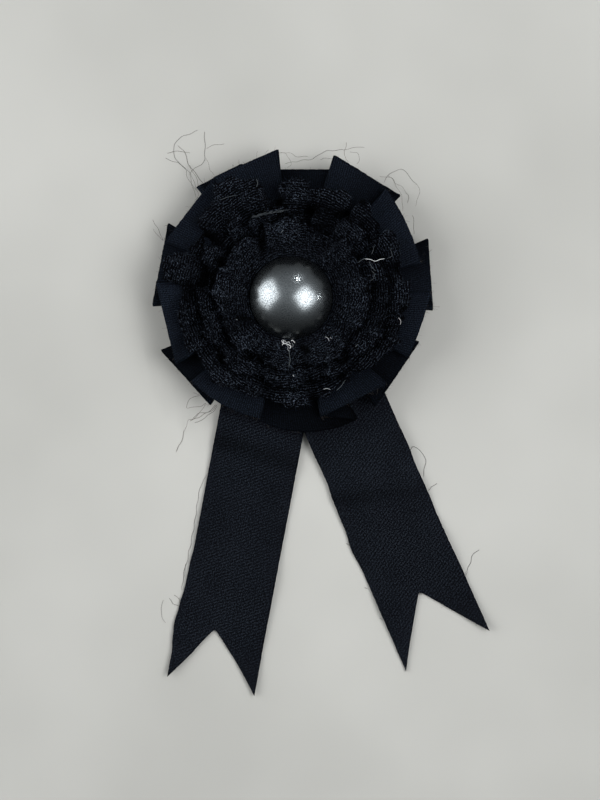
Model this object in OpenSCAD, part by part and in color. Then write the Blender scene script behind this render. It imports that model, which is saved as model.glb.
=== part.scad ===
// Rosette brooch lying on its back: a pleated ribbon ring, three gathered tweed ruffles,
// a half-round pearl, two swallow-tailed ribbons, the round that carries them and a pin.
// Millimetres. +Z points up out of the face, +Y to the top of the rosette as it is worn.
// The origin is on the surface it lies on, under the pearl, midway along the pin.

/* [Pearl] */
// Diameter of the half-round pearl
pearl_d = 25; // [22:0.5:25]
// Height of the half-round pearl
pearl_h = 12; // [11:0.5:14]

/* [Cloth] */
// Thickness of the smooth ribbon
ribbon_t = 1; // [0.8:0.05:1.1]
// Thickness of the rough tweed
tweed_t = 1.2; // [0.9:0.05:1.3]
// Gap left between pieces that lie on each other
gap = 0.1; // [0.1:0.05:0.2]

/* [Ring of pleats] */
// Radius at which the pleats are sewn down
seam_r = 17.5; // [17.5:0.25:19]
// Radius at which the ring reaches the height of its rim
rim_r = 44; // [43:0.5:46]
// Height of the back layer at the rim, at the top of the rosette
rim_low = 5; // [4:0.5:6]
// Rise of the front layer over the back layer at the rim
rim_rise = 4; // [3.4:0.2:5]
// Extra height of the rim at the bottom, where it rides over the tails
tail_lift = 2.6; // [2.2:0.2:3]

/* [Tails] */
// Width of the left tail
tail_left_w = 26.5; // [24:0.5:29]
// Width of the right tail
tail_right_w = 28.1; // [24:0.5:30]
// Length of the left tail from its sewn end to the points
tail_left_len = 125; // [117:1:134]
// Length of the right tail from its sewn end to the points
tail_right_len = 122; // [115:1:131]
// Lean of the left tail from straight down
tail_left_lean = 10.7; // [9:0.1:12]
// Lean of the right tail from straight down
tail_right_lean = 23.5; // [22:0.1:25]

/* [Round that carries the ruffles] */
// Diameter of the round
base_d = 37; // [36:0.5:37.5]
// Thickness of the round
base_t = 1.2; // [1:0.1:1.2]

/* [Pin] */
// Length of the pin's bar
pin_len = 27; // [24:1:34]
// Width of the pin's bar
pin_w = 5; // [4:0.5:7]
// Height of the pin over the surface that the brooch lies on
pin_h = 5.2; // [5:0.1:5.2]
// Diameter of the needle
needle_d = 0.9; // [0.7:0.1:1.1]

/* [Hidden] */

// Underside of the round, then the middle of each layer of cloth from the back to the front.
// The ring is gathered where it is sewn, so its seam keeps more room than a flat layer.
seam_room = 0.25;
fold_room = 0.3;
base_z = pin_h + gap;
tail_under_z = base_z + base_t + gap + ribbon_t / 2;
tail_over_z = tail_under_z + ribbon_t + gap;
seam_z = tail_over_z + ribbon_t + gap + seam_room;
seam_rise = 2 * (ribbon_t + fold_room);
tweed_outer_z = tail_over_z + ribbon_t / 2 + gap + tweed_t / 2;
tweed_step = tweed_t + 2 * gap;
tweed_middle_z = tweed_outer_z + tweed_step;
tweed_inner_z = tweed_middle_z + tweed_step;
pearl_z = tweed_inner_z + tweed_t / 2 + gap;
// Straight wall under the pearl's dome, and the radius of the dome
pearl_wall = 5;
dome_r = (pow(pearl_d / 2, 2) + pow(pearl_h - pearl_wall, 2)) / (2 * (pearl_h - pearl_wall));
ruffle_top = seam_z + seam_rise + ribbon_t / 2;

// Panels of the pleated ring, anticlockwise from +X. Each ends where it folds back under or
// over the next, so they overlap. Lift is 0 in the back layer and 1 in the front layer, and
// bow is how far the middle of the rim stands out past the straight line between its ends.
// [from angle, to angle, rim radius from, rim radius to, lift from, lift to, bow]
PANELS = [
    [-4.0, 22.7, 43.4, 45.4, 0, 0, 0],
    [16.0, 48.0, 40.9, 44.0, 1, 1, 1.0],
    [44.0, 72.5, 45.7, 45.4, 0, 1, 0],
    [67.0, 101.0, 42.7, 40.0, 0, 0, 0],
    [95.8, 122.0, 45.4, 43.7, 1, 1, 0],
    [111.0, 129.6, 43.7, 44.5, 0, 0, 0],
    [124.0, 155.0, 43.2, 42.0, 1, 1, 0],
    [149.5, 182.4, 43.8, 42.3, 0, 0, 0],
    [174.0, 209.0, 41.4, 40.4, 1, 1, 0],
    [202.7, 232.0, 42.7, 40.9, 0, 0, 0],
    [220.8, 254.5, 39.5, 38.0, 1, 1, 1.6],
    [247.0, 298.0, 37.4, 42.0, 0, 0, 5.0],
    [285.0, 317.3, 37.3, 39.1, 1, 1, 0],
    [308.5, 340.2, 41.8, 41.2, 0, 0, 0],
    [334.0, 361.5, 40.0, 42.4, 1, 1, 0.5]
];
panel_steps = 4;
seam_fold = 2.4;
panel_crown = 0.9;
lift_from = 0.19;
ring_stations = [0, 0.34, 0.7, 1];

// Lobes of the gathered ruffles, anticlockwise from +X. Lift is 0 down in a hollow and 1 up on
// a crest, and lean is how far the rim of that fold is pushed round towards the next one.
// [angle, rim radius, lift, lean]
LOBES_OUTER = [
    [3, 36.8, 0.9, 3], [14, 34.0, 0.2, -3], [28, 36.6, 0.9, 4], [38, 33.4, 0.1, -3],
    [50, 36.9, 1.0, 3], [58, 31.6, 0.0, -3], [65, 36.1, 0.8, -2], [78, 33.8, 0.3, 2],
    [84, 36.6, 0.9, 3], [91.5, 35.6, 0.6, 1], [96, 30.2, 0.0, 0], [103, 29.6, 0.0, 0],
    [109, 37.6, 0.5, -1], [118, 41.3, 1.0, 3], [129, 37.4, 0.7, 3], [136, 37.0, 0.5, 2],
    [146, 33.1, 0.0, -3], [153, 34.0, 0.2, 2], [159, 40.2, 0.8, 2], [169, 39.8, 0.9, 2],
    [177, 33.4, 0.1, -3], [189, 34.9, 0.9, 3], [197, 34.6, 0.3, -2], [205, 35.1, 0.9, 3],
    [213, 33.2, 0.1, -3], [220, 33.6, 0.7, 2], [230, 34.4, 0.9, -2], [244, 32.3, 0.4, 2],
    [257, 31.4, 0.1, -2], [270, 33.5, 0.9, 3], [284, 32.2, 0.2, -3], [298, 30.6, 0.6, 3],
    [310, 29.4, 0.1, -2], [324, 33.2, 0.7, 2], [336, 35.3, 0.9, 3], [346, 34.0, 0.3, -3],
    [354, 34.9, 0.8, -2]
];
LOBES_MIDDLE = [
    [8, 30.0, 0.2, -3], [20, 28.6, 0.9, 4], [33, 27.6, 0.1, -3], [47, 31.2, 1.0, 3],
    [60, 27.6, 0.3, -3], [70, 29.0, 0.7, 3], [79, 25.2, 0.0, -3], [90, 27.1, 0.8, -2],
    [102, 27.4, 1.0, 3], [113, 27.0, 0.7, 3], [124, 25.4, 0.1, -3], [132, 29.5, 0.9, -2],
    [141, 25.8, 0.0, 2], [153, 30.0, 1.0, -3], [167, 25.4, 0.0, 3], [180, 28.4, 0.9, -2],
    [190, 27.2, 0.5, 3], [203, 28.8, 0.9, 3], [217, 25.8, 0.0, -3], [232, 28.4, 0.9, -2],
    [250, 26.0, 0.3, -2], [268, 27.6, 1.0, 3], [285, 25.4, 0.1, -3], [303, 27.8, 0.9, 3],
    [319, 26.4, 0.2, -3], [334, 29.8, 1.0, 3], [350, 29.0, 0.4, -2]
];
LOBES_INNER = [
    [6, 24.2, 0.9, 3], [24, 22.6, 0.1, -3], [42, 24.0, 0.9, 4], [58, 22.2, 0.2, -3],
    [72, 22.4, 0.5, 2], [90, 24.0, 1.0, 3], [105, 23.0, 0.8, 3], [117, 20.6, 0.0, -3],
    [134, 23.2, 0.9, 3], [152, 22.4, 0.3, -3], [172, 24.0, 1.0, 3], [186, 22.6, 0.6, 2],
    [200, 21.6, 0.1, -3], [219, 22.4, 0.9, 4], [240, 19.8, 0.0, -3], [262, 22.6, 0.9, 3],
    [282, 19.6, 0.0, -3], [302, 22.8, 0.9, 3], [322, 21.4, 0.2, -3], [344, 23.2, 0.8, 2]
];
lobe_steps = 3;
rim_curl = 0.9;
tweed_hole_r = 5;

// How each ruffle stands: flat over the round out to the knee, up its sides to the shoulder,
// then out to the rim between a low and a high slope.
// [height of the flat, knee radius, shoulder radius, shoulder height, low slope, high slope]
shoulder_rise = ruffle_top + fold_room + tweed_t / 2 - tweed_outer_z;
SHAPE_OUTER = [tweed_outer_z, seam_r - 2.4, seam_r - 0.8, shoulder_rise, -0.01, 0.21];
SHAPE_MIDDLE = [tweed_middle_z, seam_r - 3.4, seam_r - 1.8, shoulder_rise, 0.20, 0.46];
SHAPE_INNER = [tweed_inner_z, seam_r - 4.4, seam_r - 2.8, shoulder_rise, 0.46, 0.64];

// Tails, from the sewn end: distance along, height of the left edge, the middle and the right
// edge, over the height at which the ribbon lies flat on the surface.
// [along, left edge, middle, right edge]
tail_under_rise = tail_under_z - ribbon_t / 2;
tail_over_rise = tail_over_z - ribbon_t / 2;
RISE_LEFT = [
    [0, tail_under_rise, tail_under_rise, tail_under_rise],
    [23.7, tail_under_rise, tail_under_rise, tail_under_rise],
    [40, 3.2, 3.1, 3.2], [52, 1.6, 1.9, 1.5], [64, 0.5, 0.9, 0.3], [78, 0.9, 0.2, 0.1],
    [92, 0.3, 0.2, 0.9], [104, 0.0, 0.3, 0.3], [114, 0.6, 0.1, 0.0], [124, 1.2, 0.4, 0.5]
];
RISE_RIGHT = [
    [0, tail_over_rise, tail_over_rise, tail_over_rise],
    [27, tail_over_rise, tail_over_rise, tail_over_rise],
    [43, 4.6, 4.5, 4.2], [54, 3.0, 3.1, 2.6], [68, 1.3, 1.6, 0.8], [80, 0.3, 0.7, 0.0],
    [92, 0.0, 0.3, 0.7], [102, 0.9, 0.1, 0.2], [112, 0.3, 0.0, 0.5], [121, 0.2, 0.4, 1.2]
];
tail_steps = 20;
notch_deep = [16.4, 20.2];
tail_left_root = [-1.1, 4.1];
tail_right_root = [-0.9, 4];

// Thickness of the pin's bar, diameter of the round blocks at its ends and width of the catch
bar_t = 1;
knuckle_d = 2.4;
catch_w = 2.2;

// A mitre at a tight fold is cut off where the walls turn back on each other
sharpest_mitre = 0.3;

ribbon_colour = "#14181f";
tweed_colour = "#0e1013";
pearl_colour = "#5a5e61";
pin_colour = "#b4b6ba";

// Straight and smooth blends between two values
function blend(a, b, s) = a + (b - a) * s;
function ease(s) = s * s * (3 - 2 * s);
function unit(v) = v / max(norm(v), 0.000001);

// Point at an angle, a radius and a height
function polar(a, r, z) = [r * cos(a), r * sin(a), z];

// Height of the surface on a table whose first column is the distance, read at distance d
function row_at(table, d) =
    let (last = len(table) - 1)
    max([for (i = [0 : last - 1]) if (table[i][0] <= d) i]);
function read_table(table, d, column) =
    let (i = row_at(table, max(d, 0)))
    let (s = min(1, (d - table[i][0]) / (table[i + 1][0] - table[i][0])))
    blend(table[i][column], table[i + 1][column], ease(s));

// Offset from the middle of the sheet to its front face, mitred where two walls meet
function face_normal(along, across) = unit(cross(across, along));
function mitre(before, after, across) =
    let (n1 = face_normal(before, across))
    let (n2 = face_normal(after, across))
    (n1 + n2) / max(sharpest_mitre, 1 + n1 * n2);

// A sheet of even thickness through a grid of points: the rows run along it and each row runs
// across. A closed sheet joins its last row to its first.
function sheet_offset(rows, i, k, closed) =
    let (n = len(rows))
    let (m = len(rows[0]))
    let (p = rows[i][k])
    let (prev = closed ? rows[(i + n - 1) % n][k] : rows[max(i - 1, 0)][k])
    let (next = closed ? rows[(i + 1) % n][k] : rows[min(i + 1, n - 1)][k])
    let (across = rows[i][min(k + 1, m - 1)] - rows[i][max(k - 1, 0)])
    let (before = norm(p - prev) > 0 ? p - prev : next - p)
    let (after = norm(next - p) > 0 ? next - p : p - prev)
    mitre(before, after, across);

module sheet(rows, thickness, closed) {
    n = len(rows);
    m = len(rows[0]);
    front = [for (i = [0 : n - 1]) for (k = [0 : m - 1])
        rows[i][k] + sheet_offset(rows, i, k, closed) * thickness / 2];
    back = [for (i = [0 : n - 1]) for (k = [0 : m - 1])
        rows[i][k] - sheet_offset(rows, i, k, closed) * thickness / 2];
    spans = closed ? n : n - 1;
    function at(i, k) = (i % n) * m + k;
    front_faces = [for (i = [0 : spans - 1]) for (k = [0 : m - 2])
        for (t = [0, 1]) t == 0
            ? [at(i, k), at(i + 1, k), at(i + 1, k + 1)]
            : [at(i, k), at(i + 1, k + 1), at(i, k + 1)]];
    back_faces = [for (f = front_faces) [for (v = [2, 1, 0]) f[v] + n * m]];
    long_edges = [for (i = [0 : spans - 1]) for (k = [0, m - 1])
        let (a = at(i, k), b = at(i + 1, k))
        for (f = [[a, a + n * m, b + n * m], [a, b + n * m, b]])
            k == 0 ? f : [f[2], f[1], f[0]]];
    end_edges = closed ? [] : [for (k = [0 : m - 2]) for (i = [0, n - 1])
        let (a = at(i, k), b = at(i, k + 1))
        for (f = [[a, b, b + n * m], [a, b + n * m, a + n * m]])
            i == 0 ? f : [f[2], f[1], f[0]]];
    polyhedron(points = concat(front, back),
        faces = concat(front_faces, back_faces, long_edges, end_edges), convexity = 8);
}

// Ring of pleats: its height droops from the seam to the rim, by the same rule in every layer
function rim_z(a, lift) = rim_low + tail_lift * (1 - sin(a)) / 2 + rim_rise * lift;
function ring_z(a, r, lift) =
    let (out = (r - seam_r) / (rim_r - seam_r))
    blend(seam_z + seam_rise * lift, rim_z(a, lift), out * out);
function next_panel(i) =
    let (n = len(PANELS))
    let (turn = i == n - 1 ? 360 : 0)
    [PANELS[(i + 1) % n][0] + turn, PANELS[(i + 1) % n][2], PANELS[(i + 1) % n][4]];
function before_panel(i) =
    let (n = len(PANELS))
    let (turn = i == 0 ? -360 : 0)
    PANELS[(i + n - 1) % n][1] + turn;
function panel_seam_from(i) = (before_panel(i) + PANELS[i][0]) / 2 - seam_fold;
function panel_seam_to(i) = (PANELS[i][1] + next_panel(i)[0]) / 2 + seam_fold;

// Lift of a panel a fraction s along: it changes only in the middle, clear of both folds
function panel_lift(panel, s) =
    let (part = (s - lift_from) / (1 - 2 * lift_from))
    blend(panel[4], panel[5], ease(max(0, min(1, part))));

// Rim point of a panel, a fraction s along its straight or bowed rim
function rim_point(panel, s) =
    let (p = blend(polar(panel[0], panel[2], 0), polar(panel[1], panel[3], 0), s))
    let (a = blend(panel[0], panel[1], s))
    p + polar(a, panel[6] * 4 * s * (1 - s), 0);

// One line from the seam to the rim, with the fullness of the panel between
function ring_line(seam_a, lift, rim, swell) =
    [for (t = ring_stations)
        let (p = blend(polar(seam_a, seam_r, 0), rim, t))
        let (z = ring_z(atan2(p[1], p[0]), norm(p), lift) + swell * t * t)
        [p[0], p[1], z]];

function ring_rows() = [for (i = [0 : len(PANELS) - 1])
    let (panel = PANELS[i])
    let (next = next_panel(i))
    let (from = panel_seam_from(i), to = panel_seam_to(i))
    let (start = to - 2 * seam_fold)
    let (fold_a = panel[1], fold_r = panel[3])
    for (j = [0 : panel_steps + 2])
        let (s = min(1, j / panel_steps))
        let (lift = panel_lift(panel, s))
        let (swell = panel_crown * sin(180 * s) * lift)
        j <= panel_steps
            ? ring_line(blend(from, to, s), lift, rim_point(panel, s), swell)
            : j == panel_steps + 1
                ? ring_line(to, 0.5, polar(fold_a, fold_r, 0), 0)
                : ring_line(start, 0.5, polar(next[0], next[1], 0), 0)];

module outer_ruffle() {
    color(ribbon_colour)
    sheet(ring_rows(), ribbon_t, true);
}

// Gathered ruffles
function lobe_at(lobes, i) =
    let (n = len(lobes))
    let (turn = 360 * floor(i / n))
    let (row = lobes[i % n])
    [row[0] + turn, row[1], row[2], row[3]];

function stand_z(shape, r, lift) =
    r <= shape[1] ? shape[0]
    : r <= shape[2] ? blend(shape[0], shape[0] + shape[3], (r - shape[1]) / (shape[2] - shape[1]))
    : shape[0] + shape[3] + blend(shape[4], shape[5], lift) * (r - shape[2]);

// Radii across a ruffle: the hole, the knee, the shoulder and three steps out to the rim
function stand_r(shape, rim, k) =
    k == 0 ? tweed_hole_r
    : k == 1 ? shape[1]
    : k == 2 ? shape[2]
    : blend(shape[2], rim, (k - 2) / 3);

function ruffle_rows(lobes, shape) = [for (i = [0 : len(lobes) - 1])
    let (here = lobe_at(lobes, i), there = lobe_at(lobes, i + 1))
    for (j = [0 : lobe_steps - 1])
        let (s = j / lobe_steps)
        let (lobe = blend(here, there, ease(s)))
        let (a = blend(here[0], there[0], s))
        [for (k = [0 : 5])
            let (r = stand_r(shape, lobe[1], k))
            let (out = max(0, k - 2) / 3)
            let (z = stand_z(shape, r, lobe[2]) - rim_curl * lobe[2] * out * out * out)
            polar(a + lobe[3] * out, r, z)]];

module tweed_ruffle_outer() {
    color(tweed_colour)
    sheet(ruffle_rows(LOBES_OUTER, SHAPE_OUTER), tweed_t, true);
}

module tweed_ruffle_middle() {
    color(tweed_colour)
    sheet(ruffle_rows(LOBES_MIDDLE, SHAPE_MIDDLE), tweed_t, true);
}

module tweed_ruffle_inner() {
    color(tweed_colour)
    sheet(ruffle_rows(LOBES_INNER, SHAPE_INNER), tweed_t, true);
}

module pearl_dome() {
    color(pearl_colour)
    translate([0, 0, pearl_z])
    intersection() {
        translate([0, 0, pearl_h - dome_r])
            sphere(r = dome_r, $fn = 96);
        cylinder(d = pearl_d, h = pearl_h, $fn = 96);
    }
}

// Tails, cut to a swallow tail whose notch is in the middle
function tail_rows(root, lean, width, length, notch, rise) =
    let (down = [-sin(lean), -cos(lean), 0], side = [cos(lean), -sin(lean), 0])
    [for (i = [0 : tail_steps])
        [for (u = [-1, -0.5, 0, 0.5, 1])
            let (end = length - notch * (1 - abs(u)))
            let (along = end * i / tail_steps)
            let (edge = read_table(rise, along, u < 0 ? 1 : 3))
            let (lift = blend(read_table(rise, along, 2), edge, abs(u)))
            [root[0], root[1], ribbon_t / 2 + lift] + down * along + side * u * width / 2]];

module tail_left() {
    color(ribbon_colour)
    sheet(tail_rows(tail_left_root, tail_left_lean, tail_left_w, tail_left_len,
        notch_deep[0], RISE_LEFT), ribbon_t, false);
}

module tail_right() {
    color(ribbon_colour)
    sheet(tail_rows(tail_right_root, -tail_right_lean, tail_right_w, tail_right_len,
        notch_deep[1], RISE_RIGHT), ribbon_t, false);
}

module base_disc() {
    color(ribbon_colour)
    translate([0, 0, base_z])
    cylinder(d = base_d, h = base_t, $fn = 96);
}

// Pin: a bar, a knuckle at one end, a catch at the other and the needle between them
module pin_back() {
    color(pin_colour)
    union() {
        translate([-pin_len / 2, -pin_w / 2, pin_h - bar_t])
            cube([pin_len, pin_w, bar_t]);
        pin_end(-1, pin_w);
        pin_end(1, catch_w);
        translate([-pin_len / 2 + knuckle_d / 2, 0, knuckle_d / 2])
        rotate([0, 90, 0])
            cylinder(d = needle_d, h = pin_len - knuckle_d, $fn = 24);
    }
}

// A rounded block that stands between the bar and the surface, and holds one end of the needle
module pin_end(side, width) {
    x = side * (pin_len - knuckle_d) / 2;
    translate([x, width / 2, knuckle_d / 2])
    rotate([90, 0, 0])
        cylinder(d = knuckle_d, h = width, $fn = 32);
    translate([x - knuckle_d / 2, -width / 2, knuckle_d / 2])
        cube([knuckle_d, width, pin_h - (bar_t + knuckle_d) / 2]);
}

pin_back();
base_disc();
tail_left();
tail_right();
outer_ruffle();
tweed_ruffle_outer();
tweed_ruffle_middle();
tweed_ruffle_inner();
pearl_dome();
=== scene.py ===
import math

import bpy
import numpy as np
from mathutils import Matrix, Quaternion, Vector


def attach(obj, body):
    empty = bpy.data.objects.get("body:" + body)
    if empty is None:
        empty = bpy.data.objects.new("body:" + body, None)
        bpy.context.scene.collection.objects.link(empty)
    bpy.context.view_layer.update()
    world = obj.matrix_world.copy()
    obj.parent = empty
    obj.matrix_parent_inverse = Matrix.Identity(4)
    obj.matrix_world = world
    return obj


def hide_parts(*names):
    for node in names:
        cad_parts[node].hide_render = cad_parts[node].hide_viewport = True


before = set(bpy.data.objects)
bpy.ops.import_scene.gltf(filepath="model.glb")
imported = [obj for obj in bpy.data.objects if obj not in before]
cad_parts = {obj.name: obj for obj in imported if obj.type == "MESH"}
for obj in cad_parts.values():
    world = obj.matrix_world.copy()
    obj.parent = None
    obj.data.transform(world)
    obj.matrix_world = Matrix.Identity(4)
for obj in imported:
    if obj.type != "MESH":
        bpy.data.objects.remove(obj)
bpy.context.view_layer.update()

# Tables are in millimetres, as the brooch was measured, and the meshes are in metres.
mm = 0.001
print("stage: frame loaded,", len(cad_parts), "nodes")


# Colours, node trees and meshes

def linear(hexColour, alpha=1.0):
    parts = [int(hexColour[i:i + 2], 16) / 255 for i in (1, 3, 5)]
    return tuple(c / 12.92 if c <= 0.04045 else ((c + 0.055) / 1.055) ** 2.4 for c in parts) + (alpha,)


def addNode(tree, kind, settings=None, links=None):
    # A link is a socket, or a node for its first output
    node = tree.nodes.new("ShaderNode" + kind)
    for name, value in (settings or {}).items():
        if isinstance(name, str) and hasattr(node, name):
            setattr(node, name, value)
        else:
            node.inputs[name].default_value = value
    for name, source in (links or {}).items():
        socket = source.outputs[0] if isinstance(source, bpy.types.Node) else source
        tree.links.new(socket, node.inputs[name])
    return node


def newMaterial(name):
    material = bpy.data.materials.new(name)
    material.use_nodes = True
    tree = material.node_tree
    tree.nodes.clear()
    return material, tree, addNode(tree, "TexCoord")


def setRamp(node, stops):
    ramp = node.color_ramp
    while len(ramp.elements) < len(stops):
        ramp.elements.new(0.5)
    for element, (place, colour) in zip(ramp.elements, stops):
        element.position = place
        element.color = linear(colour)


def blend(a, b, s):
    return a + (b - a) * s


def ease(s):
    return s * s * (3 - 2 * s)


def polar(angle, r, z=0.0):
    return np.array([r * math.cos(math.radians(angle)), r * math.sin(math.radians(angle)), z])


def unit(v):
    return v / np.maximum(np.linalg.norm(v, axis=-1, keepdims=True), 1e-9)


def crumple(points, size, seed, waves=16):
    # Smooth unevenness of about that size in millimetres, near -1 to 1
    rng = np.random.default_rng(seed)
    total = np.zeros(points.shape[:-1])
    for _ in range(waves):
        k = rng.normal(size=3)
        k *= 2 * math.pi / size / np.linalg.norm(k) * rng.uniform(0.6, 1.5)
        total += np.sin(points @ k + rng.uniform(0, 2 * math.pi))
    return total / math.sqrt(waves * 1.5)


def newObject(name, vertices, faces, uvs, material, paintedLightAndShade=None):
    # vertices in millimetres, one uv pair for each vertex, in metres of cloth
    mesh = bpy.data.meshes.new(name)
    mesh.from_pydata((np.asarray(vertices).reshape(-1, 3) * mm).tolist(), [], faces)
    mesh.polygons.foreach_set("use_smooth", np.ones(len(mesh.polygons), bool))
    layer = mesh.uv_layers.new(name="cloth")
    corner = np.zeros(len(mesh.loops), np.int32)
    mesh.loops.foreach_get("vertex_index", corner)
    layer.data.foreach_set("uv", np.asarray(uvs, np.float32).reshape(-1, 2)[corner].ravel())
    # Painted light and shade, one number for each point, that scales the cloth's colour
    if paintedLightAndShade is not None:
        shade = mesh.attributes.new("paintedLightAndShade", "FLOAT", "POINT")
        shade.data.foreach_set("value", np.asarray(paintedLightAndShade, np.float32).ravel())
    mesh.materials.append(material)
    made = bpy.data.objects.new(name, mesh)
    bpy.context.scene.collection.objects.link(made)
    return made


def settle(piece, replaced=None):
    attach(piece, "root")
    if replaced:
        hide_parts(replaced)


def gridFaces(rows, across, closed):
    spans = rows if closed else rows - 1
    corners = [(i * across + k, (i + 1) % rows * across + k)
               for i in range(spans) for k in range(across - 1)]
    return [(here, there, there + 1, here + 1) for here, there in corners]


def layCloth(name, points, uvs, closed, thickness, material, paintedLightAndShade=None):
    # points: rows along the cloth, each a line across it
    rows, across = points.shape[:2]
    made = newObject(name, points, gridFaces(rows, across, closed), uvs, material, paintedLightAndShade)
    solid = made.modifiers.new("thickness", "SOLIDIFY")
    solid.thickness = thickness * mm
    solid.offset = 0
    return made


def clothUv(points, closed):
    # Lengths over the cloth: round it by the outer half of its lines, and across each line
    ring = np.concatenate([points, points[:1]]) if closed else points
    outer = ring[:, points.shape[1] // 2:]
    along = np.concatenate([[0], np.cumsum(np.linalg.norm(np.diff(outer, axis=0), axis=2).mean(1))])
    steps = np.linalg.norm(np.diff(points, axis=1), axis=2)
    across = np.concatenate([np.zeros((len(points), 1)), np.cumsum(steps, axis=1)], axis=1)
    return np.stack([np.repeat(along[:len(points), None], points.shape[1], 1), across], axis=2) * mm


def clothNormals(points, closed):
    if closed:
        around = np.roll(points, -1, axis=0) - np.roll(points, 1, axis=0)
    else:
        around = np.gradient(points, axis=0)
    over = np.gradient(points, axis=1)
    return unit(around), unit(over), unit(np.cross(over, around))


def spinYarn(name, lines, thickness, shades, material, sides=3):
    # lines: strands with the same number of points, in millimetres; shade goes into the uv
    lines = np.asarray(lines, float)
    count, steps = lines.shape[:2]
    along = unit(np.gradient(lines, axis=1))
    side = unit(np.cross(along, np.array([0.31, 0.17, 0.93])))
    up = np.cross(along, side)
    profile = np.full(steps, 1.0)
    profile[0] = profile[-1] = 0.45
    radius = (np.asarray(thickness)[:, None] / 2 * profile)[:, :, None]
    turns = [2 * math.pi * k / sides for k in range(sides)]
    rings = np.stack([lines + radius * (math.cos(t) * side + math.sin(t) * up) for t in turns], axis=2)
    start = (np.arange(count) * steps * sides)[:, None, None]
    i, k = np.meshgrid(np.arange(steps - 1), np.arange(sides), indexing="ij")
    here, there = i * sides + k, i * sides + (k + 1) % sides
    walls = np.stack([here, there, there + sides, here + sides], axis=2)
    faces = (start[..., None] + walls[None]).reshape(-1, 4).tolist()
    caps = [list(range(sides))[::-1], [(steps - 1) * sides + k for k in range(sides)]]
    faces += [[int(base) + v for v in cap] for base in start.ravel() for cap in caps]
    uvs = np.stack([np.repeat(np.asarray(shades), steps * sides),
                    np.tile(np.repeat(np.linspace(0, 1, steps), sides), count)], axis=1)
    return newObject(name, rings, faces, uvs, material)


def curveThrough(points, steps):
    # A smooth line of that many points through a few
    points = np.asarray(points, float)
    padded = np.vstack([2 * points[0] - points[1], points, 2 * points[-1] - points[-2]])
    line = []
    for s in np.linspace(0, len(points) - 1 - 1e-6, steps):
        i, t = int(s), s - int(s)
        p0, p1, p2, p3 = padded[i:i + 4]
        line.append(0.5 * (2 * p1 + (p2 - p0) * t + (2 * p0 - 5 * p1 + 4 * p2 - p3) * t * t
                           + (3 * p1 - p0 - 3 * p2 + p3) * t * t * t))
    return np.array(line)


# Camera straight above, with a long lens: the photograph shows 183 x 244 mm

view = {"centre": (2.7, -31.1), "tall": 244.0, "away": 1800.0, "focusHeight": 9.0}

cameraData = bpy.data.cameras.new("camera")
cameraData.lens = 36 * view["away"] / view["tall"]
cameraData.clip_end = 20
camera = bpy.data.objects.new("camera", cameraData)
camera.location = (view["centre"][0] * mm, view["centre"][1] * mm, (view["away"] + view["focusHeight"]) * mm)
bpy.context.scene.collection.objects.link(camera)
bpy.context.scene.camera = camera
bpy.context.scene.view_settings.view_transform = "Standard"


# Floor and lights

studio = {
    "floor": ("#9c9c98", "#a8a8a4"),
    # Brightness overhead, at the horizon, and how much of it is left on the tails' side
    "world": (0.6, 0.13, 0.25),
    # Where the lights point, in metres
    "aim": (0, 0, 0.015),
    # place in metres, side of the square in metres, turn about its own axis, beam, watts
    "lights": {
        "windowLeft": ((-0.86, 0.15, 0.51), 0.98, 45, 80, 3.7),
        "windowRight": ((0.57, 0.0, 0.83), 0.80, 40, 70, 2.3),
        "lampBack": ((0.27, 0.72, 0.68), 0.045, 0, 120, 0.32),
        "lampRight": ((0.95, 0.03, 0.37), 0.022, 0, 120, 0.12),
    },
}


def plainFloor():
    # Smooth pale cement: matt, with a faint cloudiness
    material, tree, place = newMaterial("smoothCement")
    clouds = addNode(tree, "TexNoise", {"Scale": 9.0, "Detail": 3.0},
                     {"Vector": place.outputs["Object"]})
    tint = addNode(tree, "ValToRGB", {}, {"Fac": clouds})
    setRamp(tint, [(0.35, studio["floor"][0]), (0.65, studio["floor"][1])])
    shader = addNode(tree, "BsdfPrincipled", {"Roughness": 0.55, "Specular IOR Level": 0.3},
                     {"Base Color": tint})
    addNode(tree, "OutputMaterial", {}, {"Surface": shader})
    mesh = bpy.data.meshes.new("floor")
    mesh.from_pydata([(-4, -4, 0), (4, -4, 0), (4, 4, 0), (-4, 4, 0)], [], [(0, 1, 2, 3)])
    mesh.materials.append(material)
    floor = bpy.data.objects.new("floor", mesh)
    bpy.context.scene.collection.objects.link(floor)


def softLights():
    # A dim room, darker towards the horizon and on the tails' side, and two soft square lights
    world = bpy.data.worlds.new("studio")
    world.use_nodes = True
    tree = world.node_tree
    tree.nodes.clear()
    place = addNode(tree, "TexCoord")
    parts = addNode(tree, "SeparateXYZ", {}, {"Vector": place.outputs["Generated"]})
    overhead, horizon, tailSide = studio["world"]
    height = addNode(tree, "MapRange", {"To Min": horizon, "To Max": overhead},
                     {"Value": parts.outputs["Z"]})
    fore = addNode(tree, "MapRange", {"From Min": -0.9, "From Max": 0.3, "To Min": tailSide},
                   {"Value": parts.outputs["Y"]})
    strength = addNode(tree, "Math", {"operation": "MULTIPLY"}, {0: height, 1: fore})
    background = addNode(tree, "Background", {"Color": linear("#f4f7fa")}, {"Strength": strength})
    addNode(tree, "OutputWorld", {}, {"Surface": background})
    bpy.context.scene.world = world
    for name, (place, side, turn, beam, watts) in studio["lights"].items():
        data = bpy.data.lights.new(name, "AREA")
        data.shape = "SQUARE"
        data.size = side
        data.spread = math.radians(beam)
        data.energy = watts
        lamp = bpy.data.objects.new(name, data)
        lamp.location = place
        lamp.rotation_mode = "QUATERNION"
        facing = (Vector(studio["aim"]) - Vector(place)).to_track_quat("-Z", "Y")
        lamp.rotation_quaternion = facing @ Quaternion((0, 0, 1), math.radians(turn))
        lamp.visible_camera = False
        bpy.context.scene.collection.objects.link(lamp)


plainFloor()
softLights()
print("stage: camera, floor and lights")


# Materials

# Scale of a wave texture that repeats once in a metre
oneWave = 0.31416


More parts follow.
